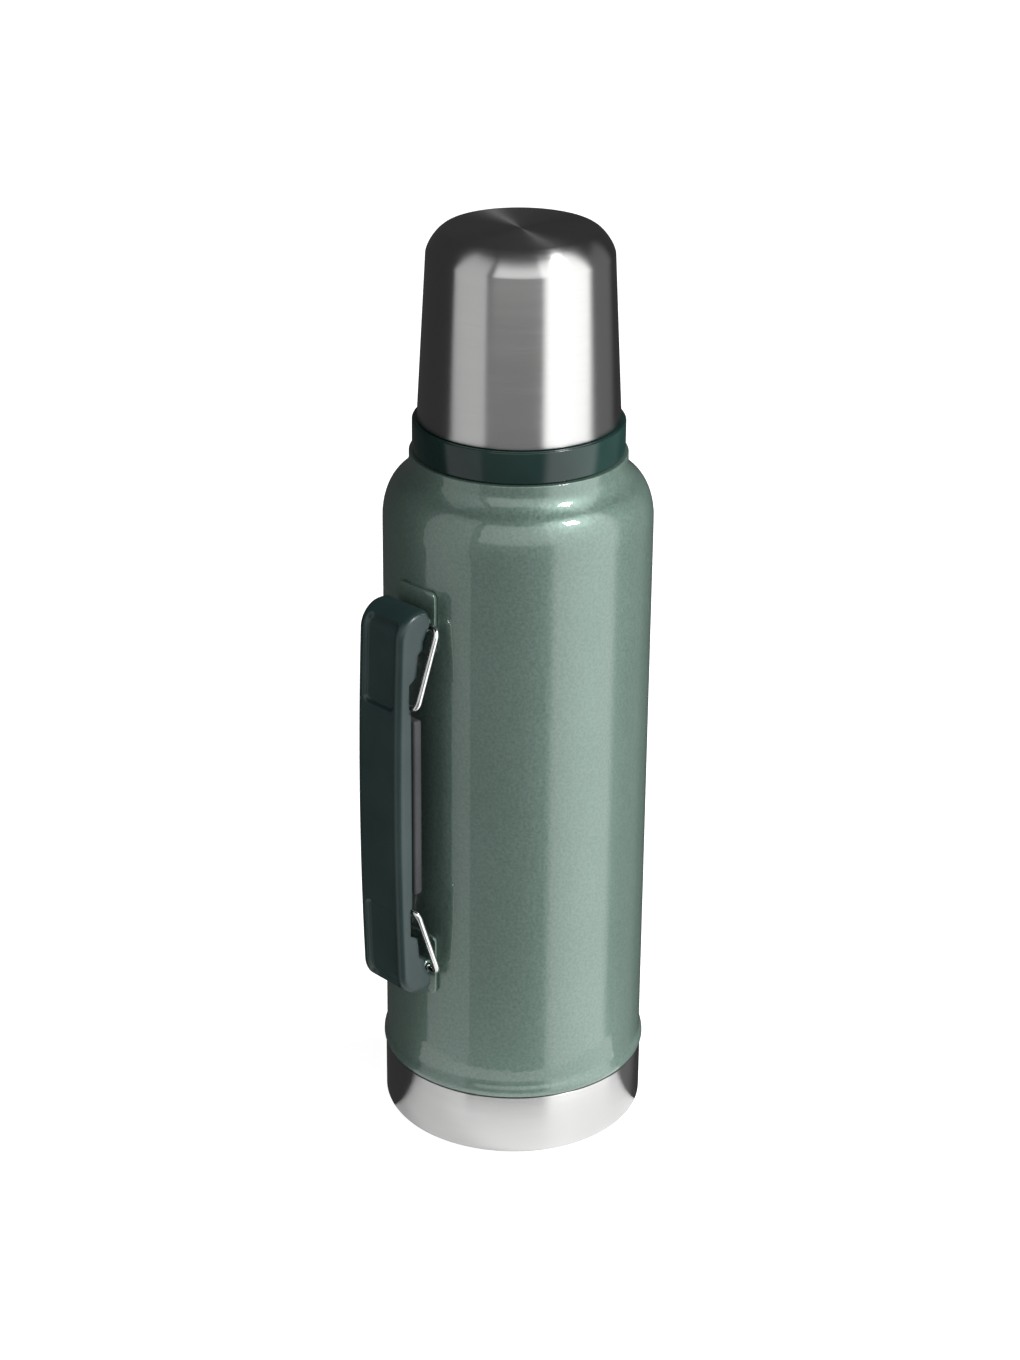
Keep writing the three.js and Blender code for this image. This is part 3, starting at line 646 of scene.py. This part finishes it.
# ---- cup -----------------------------------------------------------------------------------------
def crown(inset, steps):
    """The cup's top edge, from its wall up to its flat top."""
    width = CUP_EDGE_WIDTH - inset
    height = CUP_EDGE_HEIGHT - inset
    power = 2 / CUP_EDGE_FULLNESS
    points = []
    for i in range(steps + 1):
        angle = math.pi / 2 * i / steps
        inward = width * math.cos(angle) ** power if i < steps else 0
        points.append((
            CUP_TOP_RADIUS - CUP_EDGE_WIDTH + inward,
            CUP_TOP - CUP_EDGE_HEIGHT + height * math.sin(angle) ** power,
        ))
    return points


def cone_radius(height):
    """Outer radius of the cup's tapered wall."""
    cone_top = CUP_TOP - CUP_EDGE_HEIGHT
    return CUP_RADIUS + (CUP_TOP_RADIUS - CUP_RADIUS) * (height - CUP_BOTTOM) / (cone_top - CUP_BOTTOM)


def cup_shell():
    """Steel cup body with a softly rounded crown and a spun flat top."""
    profile = arc(CUP_RADIUS - 0.2, CUP_BOTTOM + 0.2, 0.2, 0.2, -90, 0, 3)
    profile += crown(0, 28)
    profile += [(18, CUP_TOP), (9, CUP_TOP), (0, CUP_TOP), (0, CUP_TOP - CUP_WALL)]
    profile += list(reversed(crown(CUP_WALL, 16)))
    profile += [(CUP_RADIUS - CUP_WALL, CUP_BOTTOM)]
    return finish(turned("steel_cup_shell", profile, sharp_angle=40), "brushed_steel", "cup", "cup_shell")


def cup_liner():
    """Plastic liner of the cup with its rim ring and thread."""
    inside = 36
    edge = 0.7
    roof = CUP_CEILING + 1.2
    profile = [(inside + 0.3, RING_BOTTOM)]
    profile += arc(RING_RADIUS - edge, RING_BOTTOM + edge, edge, edge, -90, 0, 5)
    profile += arc(RING_RADIUS - edge, RING_TOP - edge, edge, edge, 0, 90, 5)
    wall = CUP_WALL + GAP
    profile += [(cone_radius(RING_TOP) - wall, RING_TOP), (cone_radius(roof - 2) - wall, roof - 2)]
    profile += [(cone_radius(roof) - wall - 2, roof), (0, roof), (0, CUP_CEILING)]
    profile += arc(cone_radius(roof) - wall - 4.6, CUP_CEILING - 3, 3, 3, 90, 0, 8)
    profile += [(inside - 0.6, 298), (inside, 296), (inside, RING_BOTTOM + 0.3)]
    liner = turned("cup_liner_and_rim", profile)
    thread = helical_ridge("cup_thread", inside + 0.2, inside - 0.8, 281)
    return finish(join_into(liner, thread), "green_plastic", "cup", "cup_liner")


# ---- handle --------------------------------------------------------------------------------------
def face_reach(height):
    """Distance of the handle's bowed face from the flask's axis."""
    return HANDLE_REACH - HANDLE_BOW * (height / HANDLE_FLAT) ** 2


def spread(start, end, steps):
    """Evenly spaced values from start to just before end."""
    return [start + (end - start) * i / steps for i in range(steps)]


def handle_stations():
    """From the middle to the upper ear: outer point, inner edge point and outward normal."""
    stations = []

    def along_face(start, end, steps, inner_start, inner_end):
        for height in spread(start, end, steps):
            t = (height - start) / (end - start)
            inner = tuple(a + (b - a) * t for a, b in zip(inner_start, inner_end))
            stations.append(((face_reach(height), height), inner, (1, 0)))

    along_face(0, 38, 10, (HANDLE_RAIL, 0), (HANDLE_RAIL, 38))
    along_face(38, 40.9, 6, (HANDLE_RAIL, 38), (HANDLE_RAIL, 40.9))
    along_face(40.9, 47, 16, (SLOT_OUTER, 40.9), (SLOT_OUTER, 47))
    along_face(47, SLOT_END, 4, (SLOT_OUTER, 47), (SLOT_OUTER, SLOT_END))
    along_face(SLOT_END + 0.2, 63.5, 6, (62.8, SLOT_END + 0.1), (62, 63.3))
    along_face(63.5, 67, 4, (62, 63.5), (59.7, 65))
    along_face(67, HANDLE_FLAT, 4, (59.6, 65.4), (59.6, 68))
    width = face_reach(HANDLE_FLAT) - HANDLE_END
    rise = HANDLE_HALF_LENGTH - HANDLE_FLAT
    for angle in spread(0, 90, 24):
        turn = math.radians(angle)
        outer = (HANDLE_END + width * math.cos(turn), HANDLE_FLAT + rise * math.sin(turn))
        inner = (59.6 - 2.2 * angle / 90, 68 + 4.1 * angle / 90)
        stations.append((outer, inner, (math.cos(turn), math.sin(turn))))
    for t in spread(0, 1, 3):
        outer = (HANDLE_END - 2.6 * t, HANDLE_HALF_LENGTH)
        stations.append((outer, (57.4 - 0.8 * t, 72.1 + 1.1 * t), (0, 1)))
    for angle in spread(0, 91, 5):
        turn = math.radians(angle)
        outer = (HANDLE_EAR + 1.7 * (1 - math.sin(turn)), HANDLE_HALF_LENGTH - 1.7 + 1.7 * math.cos(turn))
        stations.append((outer, (HANDLE_EAR + 0.4 * (1 - angle / 90), 73.2 + 0.2 * angle / 90), (0, 1)))
    return stations


def panel_depth(along, across):
    """How far the face is pressed in: a panel with rounded corners that runs on over the end."""
    length = 18.0
    middle = PANEL_START + length
    x = abs(across) - (PANEL_HALF_WIDTH - PANEL_CORNER)
    y = abs(along - middle) - (length - PANEL_CORNER)
    outside = math.hypot(max(x, 0), max(y, 0)) + min(max(x, y), 0) - PANEL_CORNER
    return PANEL_DEPTH * (1 - smoothstep(-PANEL_RAMP, 0, outside))


def handle_section(outer, inner, normal, along):
    """Across the shell at one station: side wall, rounded corner, face with its panel, and back."""
    flat = HANDLE_HALF_WIDTH - HANDLE_CORNER
    down = Vector((inner[0] - outer[0], inner[1] - outer[1]))
    length = down.length
    down.normalize()
    corner = min(HANDLE_CORNER, length * 0.8)
    half = []
    for t in spread(1, 0, 5):
        reach = corner + (length - corner) * t
        half.append((outer[0] + down.x * reach, outer[1] + down.y * reach, HANDLE_HALF_WIDTH))
    for across, reach in arc(flat, corner, HANDLE_CORNER, -corner, 0, 90, 7)[:-1]:
        half.append((outer[0] + down.x * reach, outer[1] + down.y * reach, across))
    for across in (9.2, 8.9, 8.65, 8.4, 8.15, 7.9, 7.65, 7.4, 7.1, 6.7, 6.3, 5.8, 5.2, 4.4, 3.2, 1.6, 0.0):
        inset = panel_depth(along, across)
        half.append((outer[0] - normal[0] * inset, outer[1] - normal[1] * inset, across))
    other = [(reach, height, -across) for reach, height, across in reversed(half[:-1])]
    return half + other


def handle_shell():
    """Moulded outer shell: a thick skin over the handle's stations."""
    upper = []
    along = 0.0
    before = None
    for outer, inner, normal in handle_stations():
        along += math.dist(outer, before) if before else 0.0
        before = outer
        upper.append((outer, inner, normal, along))
    lower = [((o[0], -o[1]), (i[0], -i[1]), (n[0], -n[1]), a) for o, i, n, a in upper[1:]]
    rows = []
    for station in list(reversed(lower)) + upper:
        section = handle_section(*station)
        rows.append([(-reach, across, HANDLE_MIDDLE + height) for reach, height, across in section])
    shell = lofted("handle_outer_shell", rows, closed=False, capped=False)
    middle_face = max(shell.data.polygons, key=lambda p: -p.center.x)
    if middle_face.normal.x > 0:
        shell.data.flip_normals()
    solidify = shell.modifiers.new("wall", "SOLIDIFY")
    solidify.thickness = HANDLE_WALL * MM
    solidify.offset = -1
    solidify.use_even_offset = False
    bake_modifiers(shell)
    add_bevel(shell, 0.35, 2, 50)
    bake_modifiers(shell, 40)
    return finish(shell, "handle_plastic", "handle", "handle_shell")


def handle_grip():
    """Grey inner grip: a rounded bar for the fingers, and the carrier with the slots for the wires."""
    low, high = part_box("handle_grip")
    low, high = low / MM, high / MM
    half_length = 36.5
    corners = (-63.5, low.y, HANDLE_MIDDLE - half_length), (high.x, high.y, HANDLE_MIDDLE + half_length)
    bar = rounded_block("handle_grip_bar", *corners, 1.3, 5)
    screw_offset = 24
    groove_pitch = 4.2
    holes = [rod_along_x(f"hole_{e}", 2.9, -61.4, -50, HANDLE_MIDDLE + e * screw_offset) for e in (-1, 1)]
    holes += [rod_along_x(f"bore_{e}", 1.6, -66.7, -50, HANDLE_MIDDLE + e * screw_offset) for e in (-1, 1)]
    grooves = []
    for i in range(-7, 8):
        height = HANDLE_MIDDLE + i * groove_pitch
        if abs(abs(i) * groove_pitch - screw_offset) > 4:
            corners = (high.x - 0.45, -8.5, height - 0.6), (high.x + 1, 8.5, height + 0.6)
            grooves.append(rounded_block(f"groove_{i}", *corners, 0.3, 2))
    carve(bar, *holes, *grooves)
    finish(bar, "grey_grip", "handle", "handle_grip")

    carrier = rounded_block("handle_wire_carrier", (low.x, -9.4, low.z), (-63.2, 9.4, high.z), 0.5, 2)
    slots = []
    for end in (-1, 1):
        for side in (-1, 1):
            heights = sorted((HANDLE_MIDDLE + end * SLOT_START, HANDLE_MIDDLE + end * SLOT_END))
            sides = sorted((side * 5.8, side * 12))
            corners = (-SLOT_OUTER, sides[0], heights[0]), (-60, sides[1], heights[1])
            slots.append(make_object(f"slot_{end}_{side}", *block_faces(*corners)))
    carve(carrier, *slots)
    finish(carrier, "grey_grip", "handle")


def handle_screws():
    """Crosshead screws that hold the grip, one above and one below the handle's middle."""
    for name in ("handle_screw_upper", "handle_screw_lower"):
        low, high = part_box(name)
        low, high = low / MM, high / MM
        centre = (low.z + high.z) / 2
        head = (high.z - low.z) / 2
        outline = [(low.x, 0.0), (low.x, 1.2), (high.x - 1.4, 1.2), (high.x - 1.4, head)]
        outline += [(high.x - 0.9, head), (high.x - 0.3, head * 0.8), (high.x, head * 0.45), (high.x, 0.0)]
        sides = 36
        rows = []
        for x, radius in outline:
            ring = [2 * math.pi * i / sides for i in range(sides)]
            radius = max(radius, 0.001)
            rows.append([(x, radius * math.cos(a), centre + radius * math.sin(a)) for a in ring])
        screw = lofted(name + "_crosshead", rows)
        cross = []
        for arm, (across, tall) in (("cross_a", (1.4, 0.3)), ("cross_b", (0.3, 1.4))):
            corners = (high.x - 0.8, -across, centre - tall), (high.x + 1, across, centre + tall)
            cross.append(make_object(arm, *block_faces(*corners)))
        finish(carve(screw, *cross), "wire_steel", "handle", name)


# ---- brackets and bails ----------------------------------------------------------------------------
def bracket(name, end):
    """Plate rolled to the bottle's curve, with a hinge barrel wrapped round the wire."""
    height = HANDLE_MIDDLE + end * PIVOT_OFFSET
    inside = BODY_RADIUS + GAP
    outline = rounded_outline(10, 12.6, 2.6, 8)
    rings = 8
    rows = []
    for k in range(rings + 1):
        share = 1 - 0.97 * k / rings
        row = []
        for across, rise in outline:
            y = across * share
            row.append((-math.sqrt(inside ** 2 - y ** 2), y, height + rise * share))
        rows.append(row)
    plate = lofted(name + "_plate", rows, capped=False)
    work = bmesh.new()
    work.from_mesh(plate.data)
    work.verts.ensure_lookup_table()
    count = len(outline)
    work.faces.new([work.verts[rings * count + i] for i in range(count)])
    bmesh.ops.recalc_face_normals(work, faces=work.faces)
    work.to_mesh(plate.data)
    work.free()
    if sum(p.normal.x * p.area for p in plate.data.polygons) > 0:
        plate.data.flip_normals()
    solidify = plate.modifiers.new("plate", "SOLIDIFY")
    solidify.thickness = 1.45 * MM
    solidify.offset = 1
    bake_modifiers(plate)
    add_bevel(plate, 0.3, 3, 50)
    bake_modifiers(plate)
    barrel = hinge_barrel(name + "_barrel", height, end)
    return finish(join_into(plate, barrel), "hammered_paint", "flask", name)


def hinge_barrel(name, height, end):
    """Tongue of the plate that curls round the wire, seen along the wire as a thick curve."""
    inner = WIRE_RADIUS + 0.35
    outer = 2.7
    half = 8.3
    curl = arc(0, 0, outer, outer, -95, 205, 30)
    hollow = list(reversed(arc(0, 0, inner, inner, -95, 205, 30)))
    section = curl + hollow
    rows = []
    for y, shrink in ((-half, 0.25), (-half + 0.25, 0), (half - 0.25, 0), (half, 0.25)):
        row = []
        for x, z in section:
            length = math.hypot(x, z)
            middle = (inner + outer) / 2
            reach = length - shrink * (1 if length > middle else -1)
            row.append((-PIVOT_REACH - x * reach / length, y, height - end * z * reach / length))
        rows.append(row)
    barrel = lofted(name, rows)
    corners = (-PIVOT_REACH + 0.6, -half, height - 2.2), (-BODY_RADIUS - 0.9, half, height + 2.2)
    tongue = rounded_block(name + "_web", *corners, 0.3, 2)
    hole_rows = []
    for y in (-12, 12):
        ring = arc(-PIVOT_REACH, height, inner, inner, 0, 345, 23)
        hole_rows.append([(x, y, z) for x, z in ring])
    carve(tongue, lofted(name + "_hole", hole_rows))
    return join_into(barrel, tongue)


def wire_path(corners, bend, spacing):
    """Points along straight runs whose corners are rounded."""
    corners = [Vector(c) for c in corners]
    points = [corners[0]]
    for before, corner, after in zip(corners, corners[1:], corners[2:]):
        start = corner + (before - corner).normalized() * bend
        finish_point = corner + (after - corner).normalized() * bend
        run = start - points[-1]
        steps = max(1, int(run.length / spacing))
        first = points[-1]
        points += [first + run * (i + 1) / steps for i in range(steps)]
        points += [Vector(p) for p in bezier(start, corner, finish_point, 8)[1:]]
    points.append(corners[-1])
    return points


def tube(name, points, radius, sides=20):
    """A round wire along the points, with rounded ends."""
    rows = []
    side = None
    last = len(points) - 1
    for i, centre in enumerate(points):
        ahead = (points[min(i + 1, last)] - points[max(i - 1, 0)]).normalized()
        if side is None:
            side = ahead.orthogonal().normalized()
        side = (side - ahead * side.dot(ahead)).normalized()
        up = ahead.cross(side)
        rings = [(0, 1)]
        if i == 0:
            rings = [(0, 0.55), (0.25, 0.88), (0.5, 1)]
        if i == last:
            rings = [(-0.5, 1), (-0.25, 0.88), (0, 0.55)]
        for shift, scale in rings:
            ring = []
            for k in range(sides):
                angle = 2 * math.pi * k / sides
                offset = side * math.cos(angle) + up * math.sin(angle)
                ring.append(tuple(centre + ahead * shift + offset * radius * scale))
            rows.append(ring)
    return lofted(name, rows, sharp_angle=60)


def bail(node, end):
    """Wire bent from one slot of the handle, through the bracket's barrel, to the other slot."""
    pivot = HANDLE_MIDDLE + end * PIVOT_OFFSET
    tip = HANDLE_MIDDLE + end * WIRE_END_OFFSET
    corners = [
        (-WIRE_END_REACH, -WIRE_END_DEPTH, tip),
        (-WIRE_END_REACH, -WIRE_HALF_SPAN, tip),
        (-PIVOT_REACH, -WIRE_HALF_SPAN, pivot),
        (-PIVOT_REACH, WIRE_HALF_SPAN, pivot),
        (-WIRE_END_REACH, WIRE_HALF_SPAN, tip),
        (-WIRE_END_REACH, WIRE_END_DEPTH, tip),
    ]
    wire = tube(node + "_wire", wire_path(corners, WIRE_BEND, 2.0), WIRE_RADIUS)
    return finish(wire, "wire_steel", node, node)


# ---- carried-over inner pieces -------------------------------------------------------------------
def dress_inner_pieces():
    """Gives the CAD nodes that still show the material of their slot."""
    slots = {row["node"]: row["material_slot"] for row in frame["record"]["subparts"]}
    for name, obj in frame["nodes"].items():
        if obj.hide_render:
            continue
        obj.data.materials.clear()
        obj.data.materials.append(MATERIALS[slots[name]])


# ---- stage, light and camera -----------------------------------------------------------------------
CAMERA_PLACE = (-0.7313, -0.7596, 0.6597)
CAMERA_HEADING = 43.776
CAMERA_PITCH = 24.32
CAMERA_ROLL = 0.507
FOCAL_PIXELS = 2988
FRAME_HEIGHT_PIXELS = 1360
SENSOR = 36.0


def camera():
    heading = math.radians(CAMERA_HEADING)
    pitch = math.radians(CAMERA_PITCH)
    roll = math.radians(CAMERA_ROLL)
    forward = Vector((math.sin(heading), math.cos(heading), 0)) * math.cos(pitch)
    forward.z = -math.sin(pitch)
    level = Vector((math.cos(heading), -math.sin(heading), 0))
    upright = level.cross(forward)
    right = level * math.cos(roll) + upright * math.sin(roll)
    up = upright * math.cos(roll) - level * math.sin(roll)
    data = bpy.data.cameras.new("camera")
    data.sensor_width = SENSOR
    data.lens = FOCAL_PIXELS / FRAME_HEIGHT_PIXELS * SENSOR
    data.clip_end = 200
    obj = bpy.data.objects.new("camera", data)
    bpy.context.scene.collection.objects.link(obj)
    basis = Matrix((right, up, -forward)).transposed().to_4x4()
    obj.matrix_world = Matrix.Translation(CAMERA_PLACE) @ basis
    bpy.context.scene.camera = obj
    return obj


def floor():
    """Plain white floor: a wide sheet for the camera, and a near card that the steel base reflects."""
    sides = 96
    sheet = disc_sector("floor_sheet", 0, 60000, -0.4, -180, 180, sides)
    sheet.data.materials.append(floor_material("floor_white", 0.5, 0.9))
    sheet.visible_diffuse = False
    sheet.visible_glossy = False
    card = disc_sector("floor_card", 30, 116, -0.6, -72, 80, sides)
    card.data.materials.append(floor_material("card_white", 0.7, 0.33))
    card.visible_camera = False
    for piece in (sheet, card):
        piece.visible_shadow = False


def floor_material(name, lightness, glow):
    material, tree, shader = new_material(name)
    grain = noise(tree, place(tree), 3.0)
    set_inputs(tree, shader, {
        "Base Color": blend_colours(tree, grain, (lightness,) * 3, (lightness + 0.02,) * 3),
        "Roughness": 0.9,
        "Specular IOR Level": 0.1,
        "Emission Color": (1, 1, 1, 1),
        "Emission Strength": glow,
    })
    return material


def disc_sector(name, inner, outer, height, start, end, sides):
    """Flat ring or part of one, with its angles measured from the bearing of the camera."""
    camera_side = 270 - CAMERA_HEADING
    rows = []
    for radius in (max(inner, 0.001), outer):
        points = arc(0, 0, radius, radius, camera_side + start, camera_side + end, sides)
        rows.append([(x, y, height) for x, y in points])
    return lofted(name, rows, closed=False, capped=False)


def window(tree, value, centre, half_width, softness):
    """1 where value is within half_width of centre, fading to 0 at its edge."""
    away = add_node(tree, "ShaderNodeMath", {0: value, 1: centre}, operation="SUBTRACT")
    away = add_node(tree, "ShaderNodeMath", {0: away.outputs[0]}, operation="ABSOLUTE")
    inputs = {
        "Value": away.outputs[0],
        "From Min": half_width - softness,
        "From Max": half_width + softness,
        "To Min": 1.0,
        "To Max": 0.0,
    }
    return add_node(tree, "ShaderNodeMapRange", inputs, interpolation_type="SMOOTHSTEP").outputs["Result"]


# Soft boxes round the studio, in degrees: bearing from the camera (+ is to its right), half width,
# edge softness, middle height, half height, brightness.
SOFT_BOXES = (
    (-62, 22, 1.0, -10, 62, 0.62),
    (-8, 32, 3.0, -30, 40, 0.2),
    (60, 31, 6.0, -12, 66, 1.7),
    (-1, 32, 1.5, 27, 20, 1.15),
    (112, 22, 8.0, -20, 50, 0.14),
)
AMBIENT = 0.045


def studio():
    """World light: soft boxes that only light and reflections see, in front of a plain backdrop."""
    world = bpy.data.worlds.new("studio")
    bpy.context.scene.world = world
    world.use_nodes = True
    tree = world.node_tree
    tree.nodes.clear()
    coordinates = add_node(tree, "ShaderNodeTexCoord")
    turn = math.radians(CAMERA_HEADING + 90)
    inputs = {"Vector": coordinates.outputs["Generated"], "Rotation": (0, 0, turn)}
    mapping = add_node(tree, "ShaderNodeMapping", inputs)
    axes = add_node(tree, "ShaderNodeSeparateXYZ", {"Vector": mapping.outputs["Vector"]})
    sides = {0: axes.outputs["Y"], 1: axes.outputs["X"]}
    bearing = add_node(tree, "ShaderNodeMath", sides, operation="ARCTAN2")
    lift = add_node(tree, "ShaderNodeMath", {0: axes.outputs["Z"]}, operation="ARCSINE")
    total = None
    for centre, half, soft, height, half_height, brightness in SOFT_BOXES:
        across = window(tree, bearing.outputs[0], *map(math.radians, (centre, half, soft)))
        upright = window(tree, lift.outputs[0], *map(math.radians, (height, half_height, 4)))
        panel = add_node(tree, "ShaderNodeMath", {0: across, 1: upright}, operation="MULTIPLY")
        start = AMBIENT if total is None else total
        total = add_node(
            tree, "ShaderNodeMath", {0: panel.outputs[0], 1: brightness, 2: start}, operation="MULTIPLY_ADD"
        ).outputs[0]
    boxes = add_node(tree, "ShaderNodeBackground", {"Color": (1, 1, 1, 1), "Strength": total})
    backdrop = add_node(tree, "ShaderNodeBackground", {"Color": (1, 1, 1, 1), "Strength": 1.0})
    path = add_node(tree, "ShaderNodeLightPath")
    mix = add_node(tree, "ShaderNodeMixShader", {0: path.outputs["Is Camera Ray"]})
    tree.links.new(boxes.outputs[0], mix.inputs[1])
    tree.links.new(backdrop.outputs[0], mix.inputs[2])
    output = add_node(tree, "ShaderNodeOutputWorld")
    tree.links.new(mix.outputs[0], output.inputs["Surface"])


def area_light(name, bearing, lift, distance, size, power):
    """A square lamp that looks at the flask's middle, placed by its bearing from the camera."""
    middle = Vector((0, 0, 0.2))
    around = math.radians(CAMERA_HEADING + 180 - bearing)
    up = math.radians(lift)
    towards = Vector((math.sin(around) * math.cos(up), math.cos(around) * math.cos(up), math.sin(up)))
    data = bpy.data.lights.new(name, "AREA")
    data.shape = "SQUARE"
    data.size = size
    data.energy = power
    obj = bpy.data.objects.new(name, data)
    bpy.context.scene.collection.objects.link(obj)
    aim = towards.to_track_quat("Z", "Y").to_matrix().to_4x4()
    obj.matrix_world = Matrix.Translation(middle + towards * distance) @ aim
    return obj


camera()
floor()
studio()
area_light("key_lamp", 54, 42, 1.6, 0.28, 12)
side_lamp = area_light("side_lamp", 100, 12, 1.5, 0.5, 36)
side_lamp.visible_glossy = False

outer_shell()
base_cap()
inner_vessel()
neck_collar()
stopper_plug()
stopper_seal()
stopper_knob()
cup_shell()
cup_liner()
handle_shell()
handle_grip()
handle_screws()
bracket("upper_bracket", 1)
bracket("lower_bracket", -1)
bail("upper_bail", 1)
bail("lower_bail", -1)
dress_inner_pieces()

bpy.context.scene.view_settings.view_transform = "Standard"
